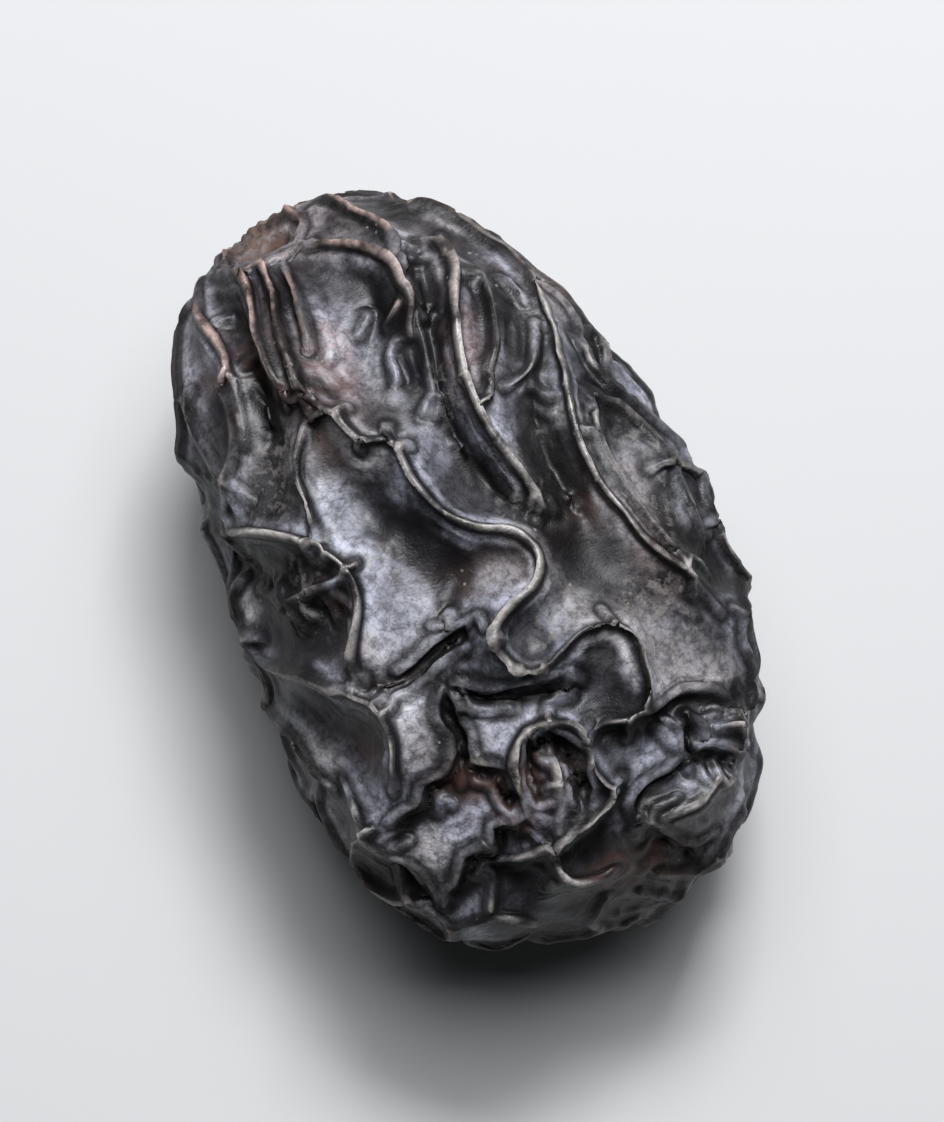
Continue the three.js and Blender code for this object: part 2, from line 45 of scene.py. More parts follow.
# the skin's shape, in millimetres, degrees and shares; most pairs are where a fade starts and ends
skin = {
    "mergeWithin": 0.0005,
    "onGround": 0.01,  # an edge this low lies in the flat spot
    "heldBelow": 0.02,  # and a point this low isn't moved
    "ridgeAngle": 24,  # an edge bent out more than this is the crest of a fold
    "creaseAngle": 30,  # and one bent in more than this is the bottom of a crease
    "deepAngle": 95,  # which is at its deepest and darkest from this bend on
    "softBelow": 0.45,  # a crease whose mean sharpness is less than this is only a soft dip
    "splits": 2,  # times that each triangle is split in four
    "smoothPasses": 8,
    "smoothPulls": (0.5, -0.52),  # in turns, so that the skin evens out and doesn't shrink
    "alongFold": 0.6,  # how freely points on a fold move, and those where folds end or meet
    "atFoldEnds": 0.15,
    "roundPull": 0.35,  # crests and creases are rounded off by this share
    "flankPasses": 2,  # and on the flanks this many more times
    "flankPull": 0.5,
    "flankFacing": 0.45,  # skin that faces up or down by less than this is a flank
    "broadPasses": 70,  # smoothing that leaves only the fruit's broad form
    "broadShares": (0.3, 0.7),  # what a point keeps of its place, and takes from its neighbours
    "groundFade": (0.05, 0.9),  # the relief fades out towards the ground
    "upwardFacing": (0.1, 0.6),
    "sideShare": 0.45,  # share of lip and lean that is left on the flanks
    # folds lean over to one side
    "leanShift": 0.27,
    "leanWidth": 0.36,
    "leanGrip": 3,  # the higher, the more of them lean over all the way
    "leanOffCrease": (0.3, 0.9),
    # crests thin out to a rounded lip that swells, thins and is crimped along the fold
    "lipHeight": 0.08,
    "lipWidth": 0.14,
    "beadShare": 0.6,
    "crimpShare": 0.35,
    "besideDepth": 0.08,  # the skin sinks beside the lip
    "besideAt": 0.42,
    "besideWidth": 0.20,
    "dishDepth": 0.22,  # and more in the middle of the panels
    "dishReach": 1.2,
    # skin gathers at the bottom of a crease, and here and there it is pinched up
    "creaseFill": 0.16,
    "creaseWidth": 0.30,
    "pinchHeight": 0.26,
    "pinchWidth": 0.34,
    "pinchFade": (-0.15, 0.35),
    # small wrinkles, ripples beside the folds, crinkles and grain
    "topShare": 0.35,  # share of the small wrinkles that is left on the upper side
    "topFacing": (0.3, 0.8),
    "offCrest": (0.15, 0.55),  # wrinkles, ripples and grain start this far from a crest
    "warpReach": 0.9,  # and wrinkles run unevenly by this much
    "wrinkleHeight": 0.12,
    "wrinkleEdge": 3.2,  # the higher, the thinner they are
    "wrinkleFade": (-0.05, 0.4),
    "wrinklesAtStem": 0.5,
    "rippleHeight": 0.045,
    "rippleSize": 0.62,
    "rippleWander": 0.35,
    "rippleFade": (-0.1, 0.35),
    "rippleReach": (1.2, 2.4),
    "crinkleHeight": 0.06,
    "crinkleShare": 0.3,
    "crinkleOnWrinkles": 0.5,
    "grainHeight": 0.13,
    "fineGrain": 0.5,
    "looseGrain": 0.8,  # grain in patches that follow no plan
    "looseFade": (0.28, 0.5),
    # the stem end
    "stemAt": (-3.1, 14.6, 10.3),
    "stemNear": (2.0, 7.2),
    "fluteCount": 13,  # small flutes run in over the rim of the stem scar
    "fluteHeight": 0.11,
    "fluteAt": 1.9,
    "fluteWidth": 0.8,
    "fluteWander": 2.6,
    "fluteLumps": 1.2,
}

# what is marked on the skin for its finish
marking = {
    "crestWidth": 0.088,  # half width of the pale line on a crest, worn skin with a painted highlight
    "stemCrestWidth": 0.068,  # and close to the stem
    "prominent": (0.05, 0.38),  # a fold stands out of the broad form by this much
    "knobPale": 0.7,  # the tops of the knobs carry a painted highlight as pale as this share of a crest's line
    "knobFade": (0.5, 1.0),
    "foldShadeShare": 0.3,  # share of bloom left out beside a faint fold as painted shade; beside a prominent one all is
    "crestShadeReach": 0.45,  # how far from crests and creases this painted shade reaches
    "creaseShadeReach": 0.42,
    "shadeAt": 0.36,  # the painted shadow line beside a crest
    "shadeWidth": 0.2,
    "creaseShade": 0.36,
    "high": (-0.22, 0.3),  # bloom, and with it painted light, lies on skin that stands out of the broad form; hollows get painted shade
    "patchHigh": 0.36,  # and in its patches lower down too
    "flankBloom": 0.45,  # on the flanks the bloom is thicker all over
    "flankHeights": (9.0, 14.0),
    "stemReach": (2.0, 12.0),  # the rosy colour fades out away from the stem
    "scarReach": (1.0125, 1.6875),  # and the scar's own colour round its middle
    "scarRagged": 0.4,
    "patchEdge": 0.92,  # as a share of a patch's size
    "patchSoftness": 0.5,
    "grainSoftness": 0.22,
    "patchHeights": (2.0, 6.0),  # patches are on the upper side only
}

# smooth noises: the size of their swells, and a shift of its own for each
noises = {
    "beads": (0.9, 11.0),
    "crimp": (0.38, 71.0),
    "pinches": (1.1, 67.0),
    "wrinkles": (1.25, 5.0),
    "wrinklePatches": (4.5, 29.0),
    "crinkles": (0.55, 61.0),
    "rippleWander": (1.7, 83.0),
    "ripplePatches": (3.4, 91.0),
    "grain": (0.6, 13.0),
    "fineGrain": (0.27, 19.0),
    "loosePatches": (4.2, 77.0),
    "knobs": (0.45, 31.0),
    "flutes": (1.3, 47.0),
    "fluteLumps": (0.9, 53.0),
    "scarEdge": (0.7, 37.0),
}
drifts = {  # and those with three shifts, one for each direction
    "lean": (5.5, (7.0, 23.0, 51.0)),
    "warp": (2.6, (3.0, 17.0, 41.0)),
}

# patches of the skin: middle, half width and half length as seen from above, and their turn
bloomLightPatches = [  # here the waxy bloom is thick, with painted light
    {"at": (-1.2, 8.9), "size": (1.2, 3.0), "turn": 0},
    {"at": (3.0, 6.4), "size": (1.0, 2.6), "turn": 10},
    {"at": (-4.4, 2.6), "size": (1.0, 2.4), "turn": 10},
    {"at": (-3.9, -1.8), "size": (1.6, 2.2), "turn": -15},
    {"at": (0.4, -1.8), "size": (1.3, 1.0), "turn": 0},
    {"at": (2.6, -4.2), "size": (1.6, 1.2), "turn": 0},
    {"at": (5.2, -6.6), "size": (1.6, 2.4), "turn": 0},
    {"at": (-5.0, -6.6), "size": (1.3, 2.6), "turn": 0},
    {"at": (-0.6, -7.2), "size": (2.6, 1.2), "turn": 0},
    {"at": (3.6, -10.8), "size": (1.9, 1.2), "turn": 0},
    {"at": (-4.5, -10.6), "size": (2.0, 1.4), "turn": 35},
    {"at": (6.7, -0.4), "size": (1.0, 2.6), "turn": 12},
    {"at": (6.2, 8.0), "size": (1.5, 3.0), "turn": -8},
    {"at": (0.9, 13.0), "size": (2.8, 1.3), "turn": 15},
    {"at": (-2.2, 9.4), "size": (1.2, 2.6), "turn": 0},
]
shadePatches = [  # here the bloom is left out as painted shade
    {"at": (-1.6, 0.4), "size": (1.0, 2.6), "turn": -25},
    {"at": (4.0, 1.4), "size": (1.1, 3.0), "turn": 8},
    {"at": (-7.4, -0.6), "size": (1.5, 2.6), "turn": 0},
    {"at": (0.5, 8.8), "size": (0.7, 2.0), "turn": 0},
    {"at": (-0.5, -14.2), "size": (4.5, 1.6), "turn": 0},
    {"at": (2.0, -12.6), "size": (2.5, 1.0), "turn": 0},
]
blushPatches = [  # here it is rosy
    {"at": (-2.6, 8.7), "size": (1.3, 2.6), "turn": 0},
    {"at": (2.7, 7.6), "size": (1.5, 3.0), "turn": 10},
    {"at": (6.6, -3.6), "size": (1.2, 2.0), "turn": 10},
    {"at": (-4.6, 11.4), "size": (1.6, 1.6), "turn": 0},
]
grainPatches = [  # and here the skin is dull and grainy
    {"at": (5.8, -5.4), "size": (1.7, 2.3), "turn": 0},
    {"at": (7.1, -0.6), "size": (1.1, 3.6), "turn": 12},
    {"at": (1.0, 5.9), "size": (1.0, 1.4), "turn": 0},
    {"at": (-0.1, -10.4), "size": (1.1, 1.7), "turn": 0},
]

# small round knobs of skin where two folds meet: their places as seen from above, and their size
knobs = {
    "at": [(-0.5, -4.1), (-0.3, -5.5), (0.5, -5.9), (6.9, -8.6)],
    "radius": 0.38,
    "height": 0.24,
    "above": 8,  # none on the underside
    "fullness": 0.85,
    "unevenness": 0.5,
}


def fadeIn(ends, values):
    # 0 up to the first end, 1 from the second on, and smooth between
    start, end = ends
    share = np.clip((values - start) / (end - start), 0, 1)
    return share * share * (3 - 2 * share)


def bell(away, width):
    # 1 in the middle, and next to nothing from twice the width on
    return np.exp(-(away / width) ** 2)


def ridged(values, edge):
    # thin lines along which smooth noise passes zero
    return 1 - np.minimum(1, edge * np.abs(values))


def smoothNoise(places, size, shift):
    # noise from -1 to 1 that changes over the given size
    away = Vector((shift, -shift, 2 * shift))
    return np.array([noise.noise(Vector(place) / (size * mm) + away) for place in places])


def noiseAt(places, name):
    return smoothNoise(places, *noises[name])


def driftAt(places, name):
    # a slowly changing direction
    size, shifts = drifts[name]
    return np.stack([smoothNoise(places, size, shift) for shift in shifts], axis=1)


def skinCopy():
    # the solid's triangles, joined at their corners
    bm = bmesh.new()
    bm.from_mesh(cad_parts["date"].data)
    bmesh.ops.remove_doubles(bm, verts=bm.verts, dist=skin["mergeWithin"] * mm)
    return bm


def markFolds(bm):
    # 1 on the crest edges of folds, -1 on the bottom edges of creases, and how sharp each crease is
    fold = bm.edges.layers.int.new("fold")
    sharp = bm.edges.layers.float.new("sharp")
    bm.normal_update()
    for edge in bm.edges:
        bend = math.degrees(edge.calc_face_angle_signed(0.0))
        onGround = max(vert.co.z for vert in edge.verts) < skin["onGround"] * mm
        if bend > skin["ridgeAngle"] and not onGround:
            edge[fold] = 1
        elif bend < -skin["creaseAngle"] and not onGround:
            edge[fold] = -1
            edge[sharp] = fadeIn((skin["creaseAngle"], skin["deepAngle"]), -bend)


def easeSoftCreases(bm):
    # a run of joined crease edges that is soft on the whole isn't held as a crease
    fold, sharp = bm.edges.layers.int["fold"], bm.edges.layers.float["sharp"]
    seen = set()
    for first in bm.edges:
        if first[fold] != -1 or first in seen:
            continue
        seen.add(first)
        run = [first]
        for edge in run:  # the run grows while it is walked
            for other in [one for vert in edge.verts for one in vert.link_edges]:
                if other[fold] == -1 and other not in seen:
                    seen.add(other)
                    run.append(other)
        if sum(edge[sharp] for edge in run) < skin["softBelow"] * len(run):
            for edge in run:
                edge[fold] = 0


def splitOnce(bm):
    bmesh.ops.subdivide_edges(bm, edges=bm.edges, cuts=1, use_grid_fill=True)
    bmesh.ops.triangulate(bm, faces=[face for face in bm.faces if len(face.verts) > 3])


def spread(values, edges, weights, count):
    # the weighted mean of each point's neighbours
    total = np.zeros_like(values)
    reach = np.bincount(edges[:, 0], weights, count) + np.bincount(edges[:, 1], weights, count)
    for axis in range(values.shape[1]):
        total[:, axis] = np.bincount(edges[:, 0], weights * values[edges[:, 1], axis], count)
        total[:, axis] += np.bincount(edges[:, 1], weights * values[edges[:, 0], axis], count)
    return total / np.maximum(reach, tiny)[:, None]


def smoothSkin(bm):
    # evens the skin out while crests and creases stay sharp, and runs smooth along them
    bm.verts.ensure_lookup_table()
    count = len(bm.verts)
    fold = bm.edges.layers.int["fold"]
    places = np.array([vert.co[:] for vert in bm.verts])
    edges = np.array([[vert.index for vert in edge.verts] for edge in bm.edges])
    kinds = np.array([edge[fold] for edge in bm.edges])
    onFold = edges[kinds != 0]
    folds = np.bincount(onFold.ravel(), minlength=count)
    even = np.ones(len(edges))
    along = (kinds != 0).astype(float)
    freedom = np.where(folds == 0, 1.0, np.where(folds == 2, skin["alongFold"], skin["atFoldEnds"]))
    freedom[places[:, 2] < skin["heldBelow"] * mm] = 0.0
    for _ in range(skin["smoothPasses"]):
        for pull in skin["smoothPulls"]:
            around = spread(places, edges, even, count)
            beside = spread(places, edges, along, count)
            goal = np.where((folds == 2)[:, None], beside, around)
            places += (freedom * pull)[:, None] * (goal - places)
    for vert, place in zip(bm.verts, places):
        vert.co = place


def pullIn(bm, verts, pull):
    bmesh.ops.smooth_vert(bm, verts=verts, factor=pull, use_axis_x=True, use_axis_y=True, use_axis_z=True)


def roundOff(bm):
    # one pass over everything, crests too, so that no edge stays knife-sharp
    pullIn(bm, [vert for vert in bm.verts if vert.co.z > skin["heldBelow"] * mm], skin["roundPull"])


def easeFlanks(bm):
    # the folds that make up the outline are blunter than those on top
    bm.normal_update()
    lowest = skin["groundFade"][1] * mm
    flanks = [vert for vert in bm.verts if abs(vert.normal.z) < skin["flankFacing"] and vert.co.z > lowest]
    for _ in range(skin["flankPasses"]):
        pullIn(bm, flanks, skin["flankPull"])


def standingOut(bm):
    # how far each point stands out of the fruit's broad form, in millimetres
    places = np.array([vert.co[:] for vert in bm.verts])
    normals = np.array([vert.normal[:] for vert in bm.verts])
    edges = np.array([[vert.index for vert in edge.verts] for edge in bm.edges])
    even = np.ones(len(edges))
    kept, moved = skin["broadShares"]
    broad = places.copy()
    for _ in range(skin["broadPasses"]):
        broad = kept * broad + moved * spread(broad, edges, even, len(places))
    return ((places - broad) * normals).sum(axis=1) / mm


def readCrests(bm):
    # the points of the crests, and the fold's direction at each
    fold = bm.edges.layers.int["fold"]
    points, indices, directions = [], [], []
    for vert in bm.verts:
        others = [edge.other_vert(vert) for edge in vert.link_edges if edge[fold] == 1]
        if others:
            points.append(vert.co.copy())
            indices.append(vert.index)
            reach = others[0].co - (others[1].co if len(others) > 1 else vert.co)
            directions.append(reach.normalized()[:])
    return points, np.array(indices), np.array(directions)


def readCreases(bm):
    # the points of the creases, and how sharp the crease is at each
    fold, sharp = bm.edges.layers.int["fold"], bm.edges.layers.float["sharp"]
    points, sharpness = [], []
    for vert in bm.verts:
        bends = [edge[sharp] for edge in vert.link_edges if edge[fold] == -1]
        if bends:
            points.append(vert.co.copy())
            sharpness.append(sum(bends) / len(bends))
    return points, np.array(sharpness)


def nearest(places, points):
    # how far each place is from the nearest of the points, in millimetres, and which point that is
    tree = kdtree.KDTree(len(points))
    for index, point in enumerate(points):
        tree.insert(point, index)
    tree.balance()
    found = [tree.find(place) for place in places]
    return np.array([one[2] for one in found]) / mm, np.array([one[1] for one in found])


def meshNormals(mesh):
    normals = np.zeros(len(mesh.vertices) * 3)
    mesh.vertices.foreach_get("normal", normals)
    return normals.reshape(-1, 3)


def meshPlaces(mesh):
    places = np.zeros(len(mesh.vertices) * 3)
    mesh.vertices.foreach_get("co", places)
    return places.reshape(-1, 3)


def moveSkin(mesh, places):
    places[:, 2] = np.maximum(places[:, 2], 0.0)  # nothing sinks into the ground
    mesh.vertices.foreach_set("co", places.ravel())
    mesh.update()


class SkinPoints:
    # what is known of each point of the skin before its relief is added
    def __init__(self, bm, mesh):
        self.height = standingOut(bm)
        crests, self.crestVerts, self.directions = readCrests(bm)
        creases, sharpness = readCreases(bm)
        self.places = meshPlaces(mesh)
        self.fromCrest, self.crestIndex = nearest(self.places, crests)
        self.fromCrease, creaseIndex = nearest(self.places, creases)
        self.sharp = sharpness[creaseIndex]
        self.clear = fadeIn(skin["groundFade"], self.places[:, 2] / mm)
        lift = fadeIn(skin["upwardFacing"], meshNormals(mesh)[:, 2])
        self.upward = skin["sideShare"] + (1 - skin["sideShare"]) * lift
        self.fromStem = np.linalg.norm(self.places - np.array(skin["stemAt"]) * mm, axis=1) / mm
        self.nearStem = 1 - fadeIn(skin["stemNear"], self.fromStem)


def leanFolds(mesh, points):
    # tips the upper part of each fold over to the side that a slow noise points to
    places, normals = meshPlaces(mesh), meshNormals(mesh)
    lean = driftAt(places, "lean")
    along = points.directions[points.crestIndex]
    lean -= (lean * along).sum(axis=1)[:, None] * along
    lean -= (lean * normals).sum(axis=1)[:, None] * normals
    strength = np.linalg.norm(lean, axis=1)
    lean *= (np.minimum(1, skin["leanGrip"] * strength) / np.maximum(strength, tiny))[:, None]
    share = points.clear * points.upward * fadeIn(skin["leanOffCrease"], points.fromCrease)
    reach = skin["leanShift"] * share * bell(points.fromCrest, skin["leanWidth"])
    moveSkin(mesh, places + lean * (reach * mm)[:, None])


def foldRelief(points):
    # the lip along each crest, the dips beside it and in the panels, and the skin gathered in creases
    beads = 1 + skin["beadShare"] * noiseAt(points.places, "beads")
    beads += skin["crimpShare"] * noiseAt(points.places, "crimp")
    lip = skin["lipHeight"] * points.upward * beads * bell(points.fromCrest, skin["lipWidth"])
    beside = skin["besideDepth"] * bell(points.fromCrest - skin["besideAt"], skin["besideWidth"])
    dish = skin["dishDepth"] * (1 - bell(points.fromCrest, skin["dishReach"]))
    gathered = skin["creaseFill"] * points.sharp * bell(points.fromCrease, skin["creaseWidth"])
    pinched = fadeIn(skin["pinchFade"], noiseAt(points.places, "pinches"))
    gathered += skin["pinchHeight"] * points.sharp * pinched * bell(points.fromCrease, skin["pinchWidth"])
    return lip - beside + gathered - dish


def smallRelief(points, normals, grain):
    # wrinkles and ripples between the folds, finer crinkles near the stem, and grainy patches
    places = points.places
    loose = 1 - (1 - skin["topShare"]) * fadeIn(skin["topFacing"], normals[:, 2])
    warped = places + skin["warpReach"] * mm * driftAt(places, "warp")
    offCrest = fadeIn(skin["offCrest"], points.fromCrest)

    web = ridged(noiseAt(warped, "wrinkles"), skin["wrinkleEdge"]) ** 2
    webShare = loose * fadeIn(skin["wrinkleFade"], noiseAt(places, "wrinklePatches"))
    webShare = np.maximum(webShare, skin["wrinklesAtStem"] * points.nearStem)
    wrinkles = skin["wrinkleHeight"] * webShare * web * offCrest

    crinkleShare = loose * (skin["crinkleShare"] + skin["crinkleOnWrinkles"] * webShare)
    crinkleShare = np.maximum(crinkleShare, points.nearStem)
    crinkles = skin["crinkleHeight"] * crinkleShare * noiseAt(warped, "crinkles")

    wander = skin["rippleWander"] * noiseAt(places, "rippleWander")
    waves = np.sin(2 * math.pi * (points.fromCrest + wander) / skin["rippleSize"])
    rippleShare = fadeIn(skin["rippleFade"], noiseAt(places, "ripplePatches")) * offCrest
    rippleShare *= 1 - fadeIn(skin["rippleReach"], points.fromCrest)
    ripples = skin["rippleHeight"] * rippleShare * waves

    grains = np.maximum(0, noiseAt(warped, "grain") + skin["fineGrain"] * noiseAt(warped, "fineGrain"))
    grains = skin["grainHeight"] * grain * grains * offCrest
    return wrinkles + ripples + crinkles + grains


def flutesAt(points, normals):
    # flutes round the stem scar, which wander a little and fade out to both sides of its rim
    outward = Vector(normals[points.fromStem < 2 * skin["fluteAt"]].mean(axis=0)).normalized()
    side = outward.cross(Vector((0, 0, 1))).normalized()
    lift = side.cross(outward)
    away = points.places - np.array(skin["stemAt"]) * mm
    angle = np.arctan2(away @ np.array(side), away @ np.array(lift))
    wander = skin["fluteWander"] * noiseAt(points.places, "flutes")
    waves = np.sin(skin["fluteCount"] * angle + wander)
    lumps = skin["fluteLumps"] * noiseAt(points.places, "fluteLumps")
    share = bell(points.fromStem - skin["fluteAt"], skin["fluteWidth"])
    return skin["fluteHeight"] * share * (waves + lumps)


def knobsAt(places):
    # the round knobs, from 0 beside them to about 1 on their tops
    flat = places / mm
    top = np.zeros(len(places))
    for at in knobs["at"]:
        away = np.hypot(flat[:, 0] - at[0], flat[:, 1] - at[1]) / knobs["radius"]
        top = np.maximum(top, np.sqrt(np.clip(1 - away ** 2, 0, 1)) * (flat[:, 2] > knobs["above"]))
    return top * (knobs["fullness"] + knobs["unevenness"] * noiseAt(places, "knobs"))


def patchesAt(places, patches, softness):
    # 1 within the patches, 0 beyond their soft edges
    flat = places / mm
    above = fadeIn(marking["patchHeights"], flat[:, 2])
    ends = (marking["patchEdge"] - softness, marking["patchEdge"] + softness)
    mask = np.zeros(len(places))
    for patch in patches:
        turn = math.radians(patch["turn"])
        x, y = flat[:, 0] - patch["at"][0], flat[:, 1] - patch["at"][1]
        across = (x * math.cos(turn) - y * math.sin(turn)) / patch["size"][0]
        along = (x * math.sin(turn) + y * math.cos(turn)) / patch["size"][1]
        mask = np.maximum(mask, above * (1 - fadeIn(ends, np.hypot(across, along))))
    return mask


def grainAt(places):
    # how grainy the skin is: the patches seen from above, and loose ones all over
    loose = fadeIn(skin["looseFade"], noiseAt(places, "loosePatches"))
    return np.maximum(patchesAt(places, grainPatches, marking["grainSoftness"]), skin["looseGrain"] * loose)


def storeMarks(mesh, points, grain, knob):
    # what the finish needs to know of each point
    places = points.places
    prominent = fadeIn(marking["prominent"], points.height)
    nearProminent = prominent[points.crestVerts][points.crestIndex]
    # bloom is left out beside folds and creases as painted shade
    shadeShare = marking["foldShadeShare"] + (1 - marking["foldShadeShare"]) * nearProminent
    openSkin = 1 - shadeShare * bell(points.fromCrest, marking["crestShadeReach"])
    openSkin *= 1 - points.sharp * bell(points.fromCrease, marking["creaseShadeReach"])
    narrower = marking["stemCrestWidth"] - marking["crestWidth"]
    crestWidth = marking["crestWidth"] + narrower * points.nearStem
    # the pale crest line is worn skin with a painted highlight, strongest on skin facing up
    crest = prominent * points.upward * bell(points.fromCrest, crestWidth)
    # patches of bloom with painted light, and patches of painted shade
    bloomLit = patchesAt(places, bloomLightPatches, marking["patchSoftness"])
    shaded = patchesAt(places, shadePatches, marking["patchSoftness"])
    flank = 1 - fadeIn(marking["flankHeights"], places[:, 2] / mm)
    ragged = points.fromStem + marking["scarRagged"] * noiseAt(places, "scarEdge")
    marks = {
        "open": openSkin,
        "crest": np.maximum(crest, marking["knobPale"] * fadeIn(marking["knobFade"], knob)),
        "off": points.fromCrest,
        # beside: where the painted shadow line runs along a crest; crease: the painted shade in a crease
        "beside": bell(points.fromCrest - marking["shadeAt"], marking["shadeWidth"]),
        # high: painted light on skin that stands out, painted shade in hollows
        "high": np.maximum(fadeIn(marking["high"], points.height), marking["patchHigh"] * bloomLit),
        "crease": points.sharp * bell(points.fromCrease, marking["creaseShade"]),
        "grain": grain,
        # the bloom patches with their painted light and shade, and thicker bloom on the flanks
        "bloomAndLight": bloomLit - shaded + marking["flankBloom"] * flank,
        "blush": patchesAt(places, blushPatches, marking["patchSoftness"]),
        "stem": 1 - fadeIn(marking["stemReach"], points.fromStem),
        "scar": 1 - fadeIn(marking["scarReach"], ragged),
    }
    for name, values in marks.items():
        mark = mesh.attributes.new(name, "FLOAT", "POINT")
        mark.data.foreach_set("value", values.astype(np.float32))
    print("marks:", ", ".join(marks))


def makeSkin():
    bm = skinCopy()
    markFolds(bm)
    easeSoftCreases(bm)
    for _ in range(skin["splits"]):
        splitOnce(bm)
        smoothSkin(bm)
    roundOff(bm)
    easeFlanks(bm)
    bm.normal_update()
    mesh = bpy.data.meshes.new("dateSkin")
    bm.to_mesh(mesh)
    points = SkinPoints(bm, mesh)
    bm.free()
    print("skin: points", len(points.places), "on crests", len(points.crestVerts),
          "standing out by up to", round(points.height.max(), 2), "mm")

    leanFolds(mesh, points)
    normals = meshNormals(mesh)
    grain, knob = grainAt(points.places), knobsAt(points.places)
    rise = foldRelief(points) + smallRelief(points, normals, grain) + flutesAt(points, normals)
    rise = points.clear * rise + knobs["height"] * knob
    moveSkin(mesh, meshPlaces(mesh) + normals * (rise * mm)[:, None])
    storeMarks(mesh, points, grain, knob)
    mesh.shade_smooth()
    piece = bpy.data.objects.new("dateSkin", mesh)
    bpy.context.scene.collection.objects.link(piece)
    print("skin: triangles", len(mesh.polygons))
    return piece


# the skin's finish: colours, sizes in millimetres and shares
finish = {
    "deepColour": (0.0020, 0.0016, 0.0018, 1),
    "panelColour": (0.0060, 0.0050, 0.0056, 1),
    # the bloom's cool grey: waxy bloom with a painted sheen of cool light
    "bloomSheenColour": (0.365, 0.370, 0.432, 1),
    "dustyColour": (0.365, 0.345, 0.356, 1),
    "warmColour": (0.060, 0.030, 0.023, 1),
    "blushColour": (0.262, 0.200, 0.206, 1),
    # the pale crest line: worn skin with a painted highlight, rosier near the stem
    "crestColour": (0.370, 0.342, 0.330, 1),
    "stemColour": (0.450, 0.300, 0.262, 1),
    "grainColour": (0.175, 0.160, 0.148, 1),
    "scarColour": (0.085, 0.052, 0.038, 1),
    "fleckColour": (0.15, 0.135, 0.122, 1),
    "coarse": 0.55,  # how strong the fine detail of a noise is, unless it has its own
    "bloomAndLightShare": 0.17,  # how much a patch of bloom with painted light adds to the bloom
    "stemBlush": 0.4,
    "creaseShade": 0.88,  # how dark the painted shade is at the bottom of a sharp crease, and the painted shadow line beside a crest
    "besideShade": 0.92,
    "crackleSize": 0.5,
    "crackleWarp": (0.8, 0.7),  # size and reach
    "fleckSize": 0.9,
    "grainRough": 0.14,  # what grain, creases and the scar add to the roughness
    "creaseRough": 0.12,
    "scarRough": 0.2,
    "crestPolish": 0.16,  # and what a crest takes off it
    "specular": 0.24,
    "coatWeight": 0.08,
    "coatRoughness": 0.24,
    "rippleSize": 0.3,
    "rippleWander": 0.48,
    "poreSize": 0.17,
    "poreDepth": 0.2,
    "fineDepth": 0.15,
    "bumpStrength": 0.8,
    "bumpDepth": 0.05,
}

# smooth steps of the finish: from which values, and to which if not from 0 to 1
ranges = {
    "bloom": {"from": (0.41, 0.64), "to": (0.05, 1.0)},
    "high": {"from": (0.12, 0.62), "to": (0.1, 1.0)},
    "open": {"from": (0.2, 0.9)},
    "crackle": {"from": (0.0, 0.10), "to": (0.72, 1.0)},
    "fleck": {"from": (0.05, 0.11), "to": (1.0, 0.0)},
    "rippleReach": {"from": (0.4, 1.2), "to": (1.0, 0.0)},
    "pore": {"from": (0.0, 0.5)},
}

# noises of the finish, most of them with a smooth step of their own
spots = {
    # these two break up the pale crest line, its wear and its painted highlight alike
    "wearAndGlint": {"size": 1.5, "detail": 3, "from": (0.36, 0.58), "to": (0.12, 1.0)},
    "scuffsAndGlint": {"size": 0.28, "detail": 3, "coarse": 0.7, "from": (0.34, 0.6), "to": (0.6, 1.0)},
    "panels": {"size": 4.5, "detail": 3, "from": (0.35, 0.65)},
    "warm": {"size": 7.5, "detail": 1, "from": (0.56, 0.70), "to": (0.0, 0.8)},
    "warmSpots": {"size": 1.1, "detail": 3, "from": (0.3, 0.6)},
    "bloom": {"size": 5.0, "detail": 4, "coarse": 0.58},
    "bloomSpots": {"size": 0.45, "detail": 3, "coarse": 0.72, "from": (0.32, 0.62), "to": (0.35, 1.0)},
    "dusty": {"size": 6.5, "detail": 1, "from": (0.42, 0.58)},
    "blushSpots": {"size": 0.8, "detail": 3, "from": (0.3, 0.6), "to": (0.4, 1.0)},
    "grainSpots": {"size": 0.5, "detail": 3, "coarse": 0.7, "from": (0.48, 0.62), "to": (0.0, 0.5)},
    "scarSpots": {"size": 0.3, "detail": 3, "coarse": 0.7, "from": (0.36, 0.62), "to": (0.2, 0.9)},
    "fleckPatches": {"size": 3.1, "detail": 0, "from": (0.55, 0.66)},
    "roughness": {"size": 2.4, "detail": 3, "coarse": 0.6, "from": (0.3, 0.7), "to": (0.38, 0.54)},
    "rippleWander": {"size": 0.9, "detail": 0},
    "ripplePatches": {"size": 2.2, "detail": 0, "from": (0.42, 0.62), "to": (0.0, 0.2)},
    "crinkles": {"size": 0.42, "detail": 3, "coarse": 0.6, "distortion": 0.6},
    "crinklePatches": {"size": 3.3, "detail": 0, "from": (0.35, 0.65), "to": (0.35, 1.0)},
    "fineGrain": {"size": 0.09, "detail": 1},
    "grainRelief": {"size": 0.3, "detail": 2, "coarse": 0.65},
}


